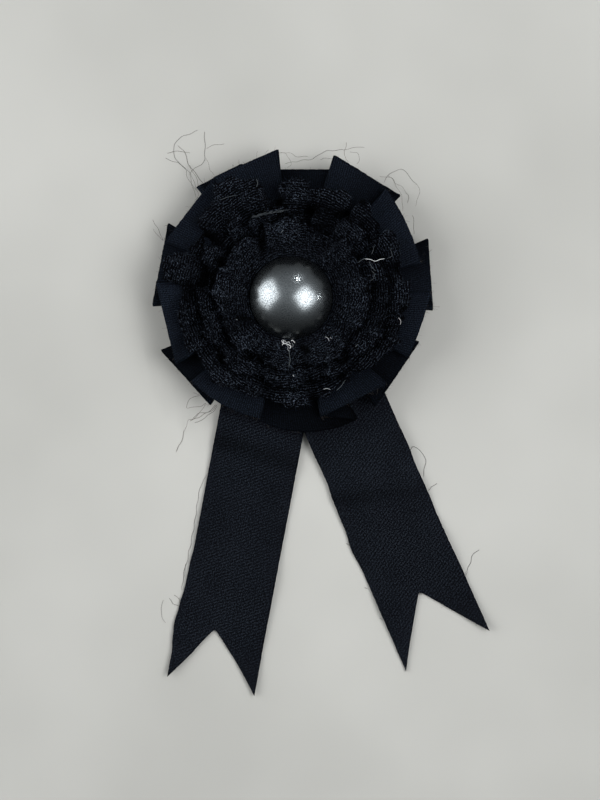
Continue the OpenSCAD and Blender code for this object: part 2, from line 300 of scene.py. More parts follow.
def finishCloth(tree, light, stops, height, bump, roughness):
    # Yarn coloured by how light it is, scaled by the painted light and shade attribute (darker where shade
    # is painted, lighter where light is), hardly any shine
    yarn = addNode(tree, "ValToRGB", {}, {"Fac": light})
    setRamp(yarn, stops)
    share = addNode(tree, "Attribute", {"attribute_name": "paintedLightAndShade"})
    paintedLightAndShade = addNode(tree, "VectorMath", {"operation": "SCALE"},
                      {0: yarn, "Scale": share.outputs["Fac"]})
    relief = addNode(tree, "Bump", {"Strength": bump[0], "Distance": bump[1] * mm}, {"Height": height})
    shader = addNode(tree, "BsdfPrincipled", {"Roughness": roughness, "Specular IOR Level": 0.01},
                     {"Base Color": paintedLightAndShade, "Normal": relief})
    addNode(tree, "OutputMaterial", {}, {"Surface": shader})


def polyesterTwill(name, turn, pitch, ribDepth, speck, stops):
    # Black polyester twill ribbon, woven: near black with a blue cast, faint slanting ribs with painted
    # shade in their grooves, and specks painted as glints of light on the yarn, hardly any shine. turn,
    # pitch and ribDepth are the ribs'.
    material, tree, place = newMaterial(name)
    slant = addNode(tree, "Mapping", {"Rotation": (0, 0, math.radians(turn))},
                    {"Vector": place.outputs["UV"]})
    ribs = addNode(tree, "TexWave", {"Scale": oneWave / (pitch * mm), "Distortion": 0.8,
                                     "Detail": 2.0, "Detail Scale": 1.6}, {"Vector": slant})
    # Specks painted as glints on the yarn, 0.3 to 0.4 mm wide; the real ones are about 0.2 mm and too fine
    # to show
    specks = addNode(tree, "TexNoise", {"Scale": 1 / (speck * mm), "Detail": 1.0, "Roughness": 0.8},
                     {"Vector": place.outputs["UV"]})
    patches = addNode(tree, "TexNoise", {"Scale": 1 / (16 * mm), "Detail": 3.0},
                      {"Vector": place.outputs["UV"]})
    woven = addNode(tree, "Math", {"operation": "MULTIPLY_ADD", 1: ribDepth},
                    {0: ribs.outputs["Fac"], 2: specks})
    uneven = addNode(tree, "Math", {"operation": "MULTIPLY_ADD", 1: 0.1}, {0: patches, 2: woven})
    finishCloth(tree, uneven, stops, woven, (0.25, 0.08), 0.75)
    return material


def boucleTweed():
    # Black wool tweed of looped yarn: rows of yarn 0.8 mm apart, with painted shade that makes it nearly
    # black between the loops, and blue-grey flecks painted at random as glints where a loop catches the
    # light.
    material, tree, place = newMaterial("boucleTweed")
    turned = addNode(tree, "Mapping", {"Rotation": (0, 0, math.radians(90))},
                     {"Vector": place.outputs["UV"]})
    rows = addNode(tree, "TexWave", {"Scale": oneWave / (0.8 * mm), "Distortion": 1.5,
                                     "Detail": 2.0, "Detail Scale": 2.0}, {"Vector": turned})
    loops = addNode(tree, "TexVoronoi", {"Scale": 1 / (0.42 * mm)}, {"Vector": place.outputs["UV"]})
    flecks = addNode(tree, "TexNoise", {"Scale": 1 / (0.4 * mm), "Detail": 2.0, "Roughness": 0.7},
                     {"Vector": place.outputs["UV"]})
    raised = addNode(tree, "Math", {"operation": "MULTIPLY", 1: 0.6}, {0: rows.outputs["Fac"]})
    height = addNode(tree, "Math", {"operation": "MULTIPLY_ADD", 1: -0.9}, {0: loops, 2: raised})
    mixed = addNode(tree, "Math", {"operation": "MULTIPLY_ADD", 1: 0.5}, {0: height, 2: flecks})
    stops = [(0.36, "#010102"), (0.56, "#090b0f"), (0.8, "#3b424d")]
    finishCloth(tree, mixed, stops, height, (0.8, 0.3), 0.9)
    return material


def woolYarn(name, stops):
    # Single yarns and fibres: the shade of each strand is in its uv
    material, tree, place = newMaterial(name)
    parts = addNode(tree, "SeparateXYZ", {}, {"Vector": place.outputs["UV"]})
    shade = addNode(tree, "ValToRGB", {}, {"Fac": parts.outputs["X"]})
    setRamp(shade, stops)
    shader = addNode(tree, "BsdfPrincipled", {"Roughness": 0.7, "Specular IOR Level": 0.02},
                     {"Base Color": shade})
    addNode(tree, "OutputMaterial", {}, {"Surface": shader})
    return material


def pearlLacquer():
    # Acrylic half-round with a grey pearl lacquer: satin, soft-edged highlights full of fine sparkle
    material, tree, place = newMaterial("greyPearlLacquer")
    # Flakes of mica 0.3 mm wide; the real ones are under 0.1 mm and too fine to show
    flakes = addNode(tree, "TexNoise", {"Scale": 1 / (0.3 * mm), "Detail": 2.0, "Roughness": 0.7},
                     {"Vector": place.outputs["Object"]})
    tint = addNode(tree, "ValToRGB", {}, {"Fac": flakes})
    setRamp(tint, [(0.34, "#494e51"), (0.66, "#898f92")])
    # Roughness between the flakes and on them
    lobe = addNode(tree, "MapRange",
                   {"From Min": 0.35, "From Max": 0.65, "To Min": 0.4, "To Max": 0.13},
                   {"Value": flakes})
    relief = addNode(tree, "Bump", {"Strength": 0.4, "Distance": 0.04 * mm}, {"Height": flakes})
    shader = addNode(tree, "BsdfPrincipled",
                     {"Metallic": 1.0, "Coat Weight": 0.3, "Coat Roughness": 0.1},
                     {"Base Color": tint, "Roughness": lobe,
                      "Normal": relief})
    addNode(tree, "OutputMaterial", {}, {"Surface": shader})
    return material


def nickelSteel():
    # Nickel-plated steel, pressed and tumbled: bright, slightly clouded, fine scratches
    material, tree, place = newMaterial("nickelPlatedSteel")
    drawn = addNode(tree, "Mapping", {"Scale": (0.08, 1, 1)}, {"Vector": place.outputs["Object"]})
    scratches = addNode(tree, "TexNoise", {"Scale": 1 / (0.25 * mm), "Detail": 3.0}, {"Vector": drawn})
    rough = addNode(tree, "MapRange", {"To Min": 0.24, "To Max": 0.4}, {"Value": scratches})
    relief = addNode(tree, "Bump", {"Strength": 0.1, "Distance": 0.02 * mm}, {"Height": scratches})
    shader = addNode(tree, "BsdfPrincipled", {"Base Color": linear("#c9c8c4"), "Metallic": 1.0},
                     {"Roughness": rough, "Normal": relief})
    addNode(tree, "OutputMaterial", {}, {"Surface": shader})
    return material


ringTwill = polyesterTwill("polyesterTwillRing", 6, 0.62, 0.14, 0.3,
                           [(0.45, "#010203"), (0.62, "#06080c"), (0.84, "#1c222c")])
tailTwill = polyesterTwill("polyesterTwillTail", -30, 0.9, 0.1, 0.37,
                           [(0.4, "#030305"), (0.58, "#06070b"), (0.8, "#23282f")])
tweed = boucleTweed()
tweedYarn = woolYarn("woolYarn", [(0.0, "#010102"), (0.4, "#06080b"), (0.75, "#1b2029"), (1.0, "#4d5662")])
whiteFibre = woolYarn("undyedFibre", [(0.0, "#1c2024"), (0.5, "#666c70"), (1.0, "#e6e8ea")])
looseThread = woolYarn("looseThread", [(0.0, "#15151a"), (1.0, "#5e5953")])
pearlCoat = pearlLacquer()
plated = nickelSteel()
print("stage: materials")


# Ring of flat pleats: one ribbon that folds back under itself between the panels

ring = {
    "seamRadius": 17.5, "rimRadius": 44.0,
    "seamHeight": 9.55, "seamRise": 2.6,
    "rimLow": 5.0, "rimRise": 4.0, "tailLift": 2.6,
    "seamFold": 2.4, "crown": 0.9, "liftFrom": 0.19,
    "thickness": 0.5, "foldBulge": 0.55,
    "fringe": {"perMm": 0.9, "length": (0.2, 1.6), "thickness": (0.04, 0.07), "pale": 0.6},
    # Painted shade at the folds between panels and towards the seam under the tweed, as the share of colour
    # left there
    "panelSteps": 30, "acrossSteps": 34, "foldPaintedShade": 0.4, "seamPaintedShade": 0.35,
    # How deep, how wide and which draw: dents of the cloth, then the ragged edge
    "dents": ((0.16, 9, 3), (0.05, 3, 4)), "ragged": (0.07, 1.3, 5),
    # from angle, to angle, rim radius from, rim radius to, lift from, lift to, bow, and the painted shade or
    # light
    # where the panel starts and ends: under 1 darker, over 1 lighter
    "panels": [
        (-4.0, 22.7, 43.4, 45.4, 0, 0, 0, 1.25, 0.45),
        (16.0, 48.0, 40.9, 44.0, 1, 1, 1.0, 1.15, 1.35),
        (44.0, 72.5, 45.7, 45.4, 0, 1, 0, 0.5, 1.15),
        (67.0, 101.0, 42.7, 40.0, 0, 0, 0, 0.65, 0.35),
        (95.8, 122.0, 45.4, 43.7, 1, 1, 0, 1.1, 1.2),
        (111.0, 129.6, 43.7, 44.5, 0, 0, 0, 0.8, 1.2),
        (124.0, 155.0, 43.2, 42.0, 1, 1, 0, 1.1, 1.1),
        (149.5, 182.4, 43.8, 42.3, 0, 0, 0, 0.75, 0.85),
        (174.0, 209.0, 41.4, 40.4, 1, 1, 0, 1.4, 1.15),
        (202.7, 232.0, 42.7, 40.9, 0, 0, 0, 0.35, 0.9),
        (220.8, 254.5, 39.5, 38.0, 1, 1, 1.6, 1.15, 1.1),
        (247.0, 298.0, 37.4, 42.0, 0, 0, 5.0, 0.55, 0.2),
        (285.0, 317.3, 37.3, 39.1, 1, 1, 0, 1.05, 0.9),
        (308.5, 340.2, 41.8, 41.2, 0, 0, 0, 0.3, 0.6),
        (334.0, 361.5, 40.0, 42.4, 1, 1, 0.5, 1.2, 1.35),
    ],
}


def ringHeight(angle, r, lift):
    rim = ring["rimLow"] + ring["tailLift"] * (1 - np.sin(angle)) / 2 + ring["rimRise"] * lift
    out = (r - ring["seamRadius"]) / (ring["rimRadius"] - ring["seamRadius"])
    return blend(ring["seamHeight"] + ring["seamRise"] * lift, rim, out * out)


def ringLine(seamAngle, lift, rim, swell, bulge):
    # One line of the ribbon from the seam to the rim
    t = np.linspace(0, 1, ring["acrossSteps"])[:, None]
    flat = blend(polar(seamAngle, ring["seamRadius"]), rim, t) + bulge
    angle, r, s = np.arctan2(flat[:, 1], flat[:, 0]), np.linalg.norm(flat, axis=1), t[:, 0]
    flat[:, 2] = ringHeight(angle, r, lift) + swell * s * s
    return flat


def roundFold(seam, liftFrom, liftTo, rim, towards, turns):
    # The ribbon turns round a fold, and bulges where it does
    tangent, lines = polar(towards, ring["foldBulge"]), []
    for turnBy in turns:
        half = (1 - math.cos(math.radians(turnBy))) / 2
        lines.append(ringLine(seam, blend(liftFrom, liftTo, half), rim, 0,
                              tangent * math.sin(math.radians(turnBy))))
    return lines


def ringLines():
    panels, lines, paintedShading = ring["panels"], [], []
    count = len(panels)
    for i, (start, end, rStart, rEnd, liftFrom, liftTo, bow, paintedShadingFrom, paintedShadingTo) in enumerate(panels):
        turn = 360 if i == count - 1 else 0
        following = panels[(i + 1) % count]
        before = panels[i - 1][1] - (360 if i == 0 else 0)
        seamFrom = (before + start) / 2 - ring["seamFold"]
        seamTo = (end + following[0] + turn) / 2 + ring["seamFold"]
        for s in np.linspace(0, 1, ring["panelSteps"] + 1):
            part = (s - ring["liftFrom"]) / (1 - 2 * ring["liftFrom"])
            lift = blend(liftFrom, liftTo, ease(min(1, max(0, part))))
            rim = blend(polar(start, rStart), polar(end, rEnd), s)
            rim = rim + polar(blend(start, end, s), bow * 4 * s * (1 - s))
            swell = ring["crown"] * math.sin(math.pi * s) * lift
            lines.append(ringLine(blend(seamFrom, seamTo, s), lift, rim, swell, np.zeros(3)))
            # Painted light or shade of the panel, from its start to its end
            paintedShading.append(blend(paintedShadingFrom, paintedShadingTo, ease(s)))
        # Round the fold at the end of the panel, back under or over it, and round the next fold
        foldEnd, nextStart = polar(end, rEnd), polar(following[0] + turn, following[2])
        nextSeam = seamTo - 2 * ring["seamFold"]
        lines += roundFold(seamTo, liftTo, 0.5, foldEnd, end + 90, (45, 90, 135, 180))
        for s in (0.25, 0.5, 0.75):
            rim = blend(foldEnd, nextStart, s)
            lines.append(ringLine(blend(seamTo, nextSeam, s), 0.5, rim, 0, np.zeros(3)))
        lines += roundFold(nextSeam, 0.5, following[4], nextStart, following[0] + turn - 90,
                           (0, 45, 90, 135))
        # Painted shade carried round the folds, darkest in the fold itself
        paintedShading += [paintedShadingTo] * 4 + [ring["foldPaintedShade"]] * 3 + [following[7]] * 4
    return np.array(lines), np.array(paintedShading)


ringPoints, ringPaintedShading = ringLines()
ringUv = clothUv(ringPoints, True)
fade = np.linspace(0, 1, ring["acrossSteps"])[None, :]
ringPoints[..., 2] += sum(deep * crumple(ringPoints, wide, draw) * fade
                          for deep, wide, draw in ring["dents"])
deep, wide, draw = ring["ragged"]
ragged = (crumple(ringPoints, wide, draw) * fade ** 12)[..., None]
ringPoints[..., :2] += deep * ragged * unit(ringPoints)[..., :2]
# Painted shade, darker towards the seam where the tweed covers the ring
ringPaintedShading = ringPaintedShading[:, None] * blend(ring["seamPaintedShade"], 1.0, ease(fade))
outerRuffle = layCloth("outer_ruffle_ribbon", ringPoints, ringUv, True, ring["thickness"],
                       ringTwill, ringPaintedShading)
settle(outerRuffle, "outer_ruffle")


# Gathered tweed ruffles, from the widest to the one round the pearl

tweedRuffles = {
    "holeRadius": 5.0, "thickness": 0.7, "rimCurl": 0.9,
    "lobeSteps": 20, "valleySharpness": 1.7, "cutShare": 1.25,
    # A ruffle's shoulder clears the ring: top of its seam, half its ribbon, room for folds
    "shoulderOver": (12.65, 0.3, 0.6),
    # How deep and how wide: dents of the cloth, then the ragged edge with how near the rim it stays
    "dents": ((0.4, 6), (0.2, 2.6)), "ragged": ((0.5, 3.5, 4), (0.2, 1.1, 8)),
    "layers": {
        "tweed_ruffle_outer": {
            "flat": 9.4, "knee": 15.1, "shoulder": 16.7, "low": -0.06, "high": 0.2,
            "pleats": (53, 31, 17), "loops": 13600, "restsOn": "tail_right",
            # angle, rim radius, lift, lean
            "lobes": [
                (3, 36.8, 0.9, 3), (14, 34.0, 0.2, -3), (28, 36.6, 0.9, 4), (38, 33.4, 0.1, -3),
                (50, 36.9, 1.0, 3), (58, 31.6, 0.0, -3), (65, 36.1, 0.8, -2), (78, 33.8, 0.3, 2),
                (84, 36.6, 0.9, 3), (91.5, 35.6, 0.6, 1), (96, 30.2, 0.0, 0), (103, 29.6, 0.0, 0),
                (109, 37.6, 0.5, -1), (118, 41.3, 1.0, 3), (129, 37.4, 0.7, 3), (136, 37.0, 0.5, 2),
                (146, 33.1, 0.0, -3), (153, 34.0, 0.2, 2), (159, 40.2, 0.8, 2), (169, 39.8, 0.9, 2),
                (177, 33.4, 0.1, -3), (189, 34.9, 0.9, 3), (197, 34.6, 0.3, -2), (205, 35.1, 0.9, 3),
                (213, 33.2, 0.1, -3), (220, 33.6, 0.7, 2), (230, 34.4, 0.9, -2), (244, 32.3, 0.4, 2),
                (257, 31.4, 0.1, -2), (270, 33.5, 0.9, 3), (284, 32.2, 0.2, -3), (298, 30.6, 0.6, 3),
                (310, 29.4, 0.1, -2), (324, 33.2, 0.7, 2), (336, 35.3, 0.9, 3), (346, 34.0, 0.3, -3),
                (354, 34.9, 0.8, -2),
            ],
        },
        "tweed_ruffle_middle": {
            "flat": 10.8, "knee": 14.1, "shoulder": 15.7, "low": 0.14, "high": 0.45,
            "pleats": (43, 27, 15), "loops": 10400, "restsOn": "tweed_ruffle_outer",
            "lobes": [
                (8, 30.0, 0.2, -3), (20, 28.6, 0.9, 4), (33, 27.6, 0.1, -3), (47, 31.2, 1.0, 3),
                (60, 27.6, 0.3, -3), (70, 29.0, 0.7, 3), (79, 25.2, 0.0, -3), (90, 27.1, 0.8, -2),
                (102, 27.4, 1.0, 3), (113, 27.0, 0.7, 3), (124, 25.4, 0.1, -3), (132, 29.5, 0.9, -2),
                (141, 25.8, 0.0, 2), (153, 30.0, 1.0, -3), (167, 25.4, 0.0, 3), (180, 28.4, 0.9, -2),
                (190, 27.2, 0.5, 3), (203, 28.8, 0.9, 3), (217, 25.8, 0.0, -3), (232, 28.4, 0.9, -2),
                (250, 26.0, 0.3, -2), (268, 27.6, 1.0, 3), (285, 25.4, 0.1, -3), (303, 27.8, 0.9, 3),
                (319, 26.4, 0.2, -3), (334, 29.8, 1.0, 3), (350, 29.0, 0.4, -2),
            ],
        },
        "tweed_ruffle_inner": {
            "flat": 12.2, "knee": 12.95, "shoulder": 12.8, "low": 0.4, "high": 0.58,
            "pleats": (35, 23, 13), "loops": 8000, "restsOn": "tweed_ruffle_middle",
            "lobes": [
                (6, 24.2, 0.9, 3), (24, 22.6, 0.1, -3), (42, 24.0, 0.9, 4), (58, 22.2, 0.2, -3),
                (72, 22.4, 0.5, 2), (90, 24.0, 1.0, 3), (105, 23.0, 0.8, 3), (117, 20.6, 0.0, -3),
                (134, 23.2, 0.9, 3), (152, 22.4, 0.3, -3), (172, 24.0, 1.0, 3), (186, 22.6, 0.6, 2),
                (200, 21.6, 0.1, -3), (219, 22.4, 0.9, 4), (240, 20.4, 0.3, -3), (262, 22.6, 0.9, 3),
                (282, 20.2, 0.4, -3), (302, 22.8, 0.9, 3), (322, 21.4, 0.2, -3), (344, 23.2, 0.8, 2),
            ],
        },
    },
    # Where the folds leave a hollow or a crest: x, y, half length, half width, turn, and how much
    # light reaches the pile there, next to the rest
    "relief": [
        (-8.9, 17.8, 5.4, 1.5, 90, 0.1), (-25.0, 18.9, 4.6, 1.9, -28, 0.08), (5.8, 26.5, 2.8, 2.1, 0, 0.1),
        (-26.5, 6.4, 4.8, 1.9, 80, 0.12), (-21.6, 10.7, 1.8, 1.9, 0, 0.15),
        (-10.7, -18.3, 4.4, 1.4, 0, 0.15),
        (-21.2, -18.6, 2.5, 1.1, -68, 0.12), (16.8, 25.0, 3.6, 1.5, -42, 0.12),
        (23.8, 2.4, 1.7, 1.3, 0, 0.2),
        (32.0, 9.1, 1.4, 2.2, 0, 0.2), (25.9, 12.4, 2.8, 1.5, 0, 0.2), (4.3, -15.6, 2.4, 1.1, -30, 0.15),
        (16.2, -19.2, 2.3, 1.3, 45, 0.15), (-14.6, -6.4, 3.4, 1.2, -20, 0.3), (34.2, -4.0, 1.3, 2.0, 0, 0.2),
        (6.7, -30.4, 2.4, 1.3, 60, 0.2), (21.0, 30.0, 3.0, 1.8, -50, 0.2), (-3.4, 29.4, 1.6, 1.6, 0, 0.1),
        (9.0, 21.0, 4.5, 1.6, 10, 0.35), (-1.0, 25.2, 5.0, 1.1, 14, 0.25), (-14.5, 26.0, 3.0, 1.6, -30, 0.4),
        (10.8, 25.5, 7.0, 3.4, -8, 0.5), (30.0, 24.0, 3.0, 2.5, -40, 0.6),
        (-31.0, 1.0, 1.6, 5.0, 0, 0.5), (13.0, -24.5, 4.0, 1.0, 30, 0.4), (27.0, -9.0, 3.0, 1.5, -40, 0.45),
        (-1.5, 20.4, 5.0, 2.7, 0, 1.4), (33.5, 3.0, 3.0, 4.0, 0, 1.45), (-20.4, 4.6, 3.0, 5.0, 0, 1.4),
        (-11.9, -13.4, 5.5, 2.6, -15, 1.45), (11.9, -13.1, 4.2, 3.2, 0, 1.4), (20.5, 0.5, 5.5, 6.0, 0, 1.3),
        (-16.8, -24.4, 4.4, 2.8, -15, 1.45), (0.0, -30.8, 5.5, 2.0, 0, 1.5), (12.2, 32.4, 4.2, 2.2, 0, 1.15),
        (1.5, 32.3, 1.9, 3.4, 0, 1.3), (-16.2, 35.4, 5.2, 2.2, 15, 1.4), (-33.9, 11.0, 3.6, 3.2, 0, 1.15),
        (0.0, -22.5, 6.5, 2.2, 5, 1.25), (24.0, -15.0, 4.5, 2.5, 35, 1.35), (27.5, 19.5, 3.0, 3.0, 0, 1.3),
    ],
    # Light under the edge of the ruffle above, how far out it is back to full, and light in a valley
    "underEdge": (0.35, 2.4, 0.65), "reliefHeight": 0.9,
    "yarn": {"step": 0.8, "length": (0.35, 0.8), "height": (0.05, 0.24), "thickness": (0.11, 0.19)},
    "fringe": {"perMm": 2.2, "length": (0.3, 1.4), "thickness": (0.07, 0.15), "pale": 0.85},
}
shoulderRise = sum(tweedRuffles["shoulderOver"]) - tweedRuffles["layers"]["tweed_ruffle_outer"]["flat"]


def ruffleLines(layer, seed):
    lobes = np.array(layer["lobes"], float)
    after = np.roll(lobes, -1, axis=0)
    after[-1, 0] += 360
    s = np.linspace(0, 1, tweedRuffles["lobeSteps"], endpoint=False)[None, :]
    angle = blend(lobes[:, :1], after[:, :1], s).ravel()[:, None]
    rim, lift, lean = (blend(lobes[:, k:k + 1], after[:, k:k + 1], ease(s)).ravel()[:, None]
                       for k in (1, 2, 3))
    # Crests are broad and the valleys between them narrow
    lift = 1 - (1 - lift) ** tweedRuffles["valleySharpness"]
    # Across: the hole, the flat part under the pearl, up to the shoulder, then fine steps to the rim
    knee, shoulder, flat = layer["knee"], layer["shoulder"], layer["flat"]
    inner = np.array([[tweedRuffles["holeRadius"], flat], [knee, flat], [blend(knee, shoulder, 0.5),
                     flat + shoulderRise / 2], [shoulder, flat + shoulderRise]])
    out = np.concatenate([np.zeros(len(inner)), np.linspace(0, 1, 25)[1:]])[None, :]
    r = blend(shoulder, rim, out)
    z = flat + shoulderRise + blend(layer["low"], layer["high"], lift) * (r - shoulder)
    z -= tweedRuffles["rimCurl"] * lift * out ** 3
    r[:, :len(inner)], z[:, :len(inner)] = inner[:, 0], inner[:, 1]
    # Small pleats where the cloth is gathered, wider and deeper towards the rim
    turn = np.radians(angle + lean * out)
    rng = np.random.default_rng(seed)
    for count in layer["pleats"]:
        phase, twist = rng.uniform(0, 2 * math.pi), rng.uniform(0.3, 0.9)
        wander = 0.9 * np.sin(3 * turn + phase * 2) + 0.7 * np.sin(7 * turn + phase)
        wave = count * turn + phase + wander + twist * out
        z += 0.5 * np.sin(wave) * out ** 0.5 * (30 / count) ** 0.8
        turn = turn + 0.5 * np.cos(wave) * out / r * (30 / count) ** 0.8
    points = np.stack([r * np.cos(turn), r * np.sin(turn), z], axis=2)
    # Dents, and a ragged cut edge
    _, _, normal = clothNormals(points, True)
    dents = sum(deep * crumple(points, wide, seed + k) * out
                for k, (deep, wide) in enumerate(tweedRuffles["dents"]))
    points += normal * dents[..., None]
    outward = unit(points * np.array([1, 1, 0]))
    for k, (deep, wide, power) in enumerate(tweedRuffles["ragged"]):
        points += outward * (deep * crumple(points, wide, seed + 2 + k) * out ** power)[..., None]
    return points, blend(0.6, lift, out ** 0.6)


def lightShare(points, raised, above):
    # How much light reaches the pile at each point; above is the grid of the ruffle over it, if any
    x, y = points[..., 0], points[..., 1]
    least, reach, valley = tweedRuffles["underEdge"]
    share = blend(valley, 1.1, raised)
    if above is not None:
        rim = above[:, -1]
        angles, radii = np.arctan2(rim[:, 1], rim[:, 0]), np.hypot(rim[:, 0], rim[:, 1])
        beyond = np.hypot(x, y) - np.interp(np.arctan2(y, x), angles, radii, period=2 * math.pi)
        share = share * blend(least, 1, ease(np.clip(beyond / reach, 0, 1)))
    for placeX, placeY, half, halfAcross, turn, light in tweedRuffles["relief"]:
        c, d = math.cos(math.radians(turn)), math.sin(math.radians(turn))
        alongIt = (x - placeX) * c + (y - placeY) * d
        acrossIt = (y - placeY) * c - (x - placeX) * d
        near = np.exp(-((alongIt / half) ** 2 + (acrossIt / halfAcross) ** 2) ** 2)
        share = share * blend(1, light, near)
    return share


def onCloth(points, i, k):
    # Places between the grid's lines: i round the ruffle, k across it
    rows = len(points)
    i0, k0 = i.astype(int) % rows, k.astype(int)
    i1, k1 = (i0 + 1) % rows, np.minimum(k0 + 1, points.shape[1] - 1)
    s, t = (i % 1)[:, None], (k % 1)[:, None]
    return blend(blend(points[i0, k0], points[i1, k0], s), blend(points[i0, k1], points[i1, k1], s), t)


def yarnLoops(name, points, uvs, share, shownFrom, count, seed):
    # Loops of yarn that stand out of the cloth, in rows along the ruffle, with painted shade: darker in the
    # valleys, hollows and under the ruffle above, palest on the crests
    rng = np.random.default_rng(seed)
    rows, across = points.shape[:2]
    around, over, normal = clothNormals(points, True)
    i = rng.uniform(0, rows, count)
    k = shownFrom + (across - 1.02 - shownFrom) * rng.uniform(0, 1, count) ** 0.75
    base, up = onCloth(points, i, k), unit(onCloth(normal, i, k))
    v = onCloth(uvs, i, k)[:, 1] / mm
    side = unit(onCloth(over, i, k))
    yarn = tweedRuffles["yarn"]
    base += side * ((np.round(v / yarn["step"]) * yarn["step"] - v) * rng.uniform(0.75, 1, count))[:, None]
    tilt = np.radians(rng.normal(0, 13, count))
    way = unit(onCloth(around, i, k) * np.cos(tilt)[:, None] + side * np.sin(tilt)[:, None])
    length, height = rng.uniform(*yarn["length"], count), rng.uniform(*yarn["height"], count)
    sway = 0.1 * rng.normal(0, 1, count)
    lines = []
    for s in (0.0, 0.5, 1.0):
        bow = math.sin(math.pi * (0.12 + 0.76 * s))
        lines.append(base + way * (length * (s - 0.5))[:, None] + up * (0.22 + height * bow)[:, None]
                     + side * (rng.normal(0, 0.05, count) + sway * bow)[:, None])
    lines = np.stack(lines, axis=1)
    # The loops' shades take the painted light and shade of the cloth under them
    pale = onCloth(share[..., None], i, k)[:, 0]
    shades = np.clip(rng.uniform(0, 1, count) ** 1.3 * np.clip(pale, 0, 1.4) ** 0.7, 0, 1)
    return spinYarn(name, lines, rng.uniform(*yarn["thickness"], count), shades, tweedYarn)


def frayedRim(name, points, closed, fringe, material, seed):
    # Yarn ends that stick out of the raw edge, the last point of each line
    rng = np.random.default_rng(seed)
    rows = len(points) if closed else len(points) - 1
    rim = np.linalg.norm(np.diff(points[:, -1], axis=0), axis=1).sum()
    count = int(rim * fringe["perMm"])
    i, k = rng.uniform(0, rows, count), np.full(count, points.shape[1] - 1.3)
    around, over, normal = clothNormals(points, closed)
    base, up = onCloth(points, i, k), onCloth(normal, i, k)
    way = unit(onCloth(over, i, k) + onCloth(around, i, k) * rng.normal(0, 0.6, count)[:, None]
               + up * rng.normal(0.1, 0.5, count)[:, None])
    bend = rng.normal(0, 0.35, (count, 3))
    shortest, longest = fringe["length"]
    length = rng.uniform(0, 1, count) ** 2 * (longest - shortest) + shortest
    lines = np.stack([base + way * (length * s)[:, None] + bend * (length * s * s)[:, None]
                      for s in np.linspace(0, 1, 5)], axis=1)
    lines[..., 2] = np.maximum(lines[..., 2], 0.1)
    shades = rng.uniform(0, fringe["pale"], count)
    return spinYarn(name, lines, rng.uniform(*fringe["thickness"], count), shades, material)


madeLines = {node: ruffleLines(layer, 20 + 10 * order)
             for order, (node, layer) in enumerate(tweedRuffles["layers"].items())}
ruffleGrids = {node: points for node, (points, _) in madeLines.items()}
ruffleAbove = list(ruffleGrids.values())[1:] + [None]
for order, (node, (points, raised)) in enumerate(madeLines.items()):
    layer = tweedRuffles["layers"][node]
    # Painted light and shade on the tweed: darker in the valleys, the hollows and under the edge of the
    # ruffle above, lighter on the crests; it also lifts or lowers the cloth a little
    share = lightShare(points, raised, ruffleAbove[order])
    rise = tweedRuffles["reliefHeight"] * np.clip(share - 0.9, -0.9, 0.4)
    points[..., 2] += rise * ease(np.linspace(0, 1, points.shape[1]))[None, :]
    uvs = clothUv(points, True)
    cloth = layCloth(node + "_cloth", points, uvs, True, tweedRuffles["thickness"], tweed, share)
    loops = yarnLoops(node + "_loops", points, uvs, share, 3, layer["loops"], 50 + order)
    ends = frayedRim(node + "_ends", points, True, tweedRuffles["fringe"], tweedYarn, 60 + order)
    settle(cloth, node)
    for piece in (loops, ends):
        settle(piece)


# Tails: two ribbons cut to swallow tails

tails = {
    "thickness": 0.5, "alongSteps": 150, "acrossSteps": 36,
    "fringe": {"perMm": 1.4, "length": (0.2, 0.9), "thickness": (0.04, 0.08), "pale": 0.6},
    "tail_left": {
        "root": (-1.1, 4.1), "lean": 10.7, "width": 26.5, "length": 125.0, "notch": 17.5, "notchAt": -0.1,
        # how much longer than that the left and the right point are
        "points": (-0.3, 0.6),
        # along, height of the left edge, the middle and the right edge over the floor
        "rise": [(0, 6.7, 6.7, 6.7), (23.4, 6.7, 6.7, 6.7), (40, 2.6, 2.6, 2.4), (52, 0.9, 1.4, 0.6),
                 (64, 0.4, 0.9, 0.2), (78, 0.9, 0.2, 0.1), (92, 0.3, 0.2, 0.9), (104, 0.0, 0.3, 0.3),
                 (114, 0.6, 0.1, 0.0), (125, 1.4, 0.4, 0.8)],
        # along, how far the left and the right edge swing to the right of straight
        "swing": [(0, 0, 0), (84, 0, 0), (90, -0.4, 0), (96, -0.5, 0), (103, -1.15, 0), (108, -1.7, 0),
                  (112, -1.4, 0), (117, -0.75, 0.1), (125, -0.7, 0.1)],
        # soft folds across: along, slant, half width, height, painted shade or light at the fold, share left
        # at the right edge
        "folds": [(52.0, 0.125, 2.6, 0.6, 0.58, 0.7), (45.5, 0.1, 2.4, 0.2, 1.2, 1)],
    },
    "tail_right": {
        "root": (-0.9, 4.0), "lean": -23.5, "width": 28.1, "length": 122.0, "notch": 20.2, "notchAt": -0.05,
        "points": (0.9, -0.4),
        "rise": [(0, 7.8, 7.8, 7.8), (27, 7.8, 7.8, 7.8), (43, 3.4, 3.4, 3.4), (54, 1.2, 1.8, 1.8),
                 (68, 0.5, 1.1, 0.8), (80, 0.3, 0.7, 0.0), (92, 0.0, 0.3, 0.7), (102, 0.9, 0.1, 0.2),
                 (112, 0.3, 0.0, 0.5), (122, 0.2, 0.4, 1.3)],
        "swing": [(0, 0, 0), (50, 0.6, 0), (60, 0.85, 0.2), (66, 0.3, -0.1), (76, 0.1, 0), (82, -0.55, -0.2),
                  (90, 0, -0.1), (100, 0, 0.2), (122, 0, 0.3)],
        "folds": [(69.6, 0.286, 2.6, 0.5, 0.6, 0.25), (62.0, 0.2, 3.5, 0.2, 1.15, 1)],
    },
}


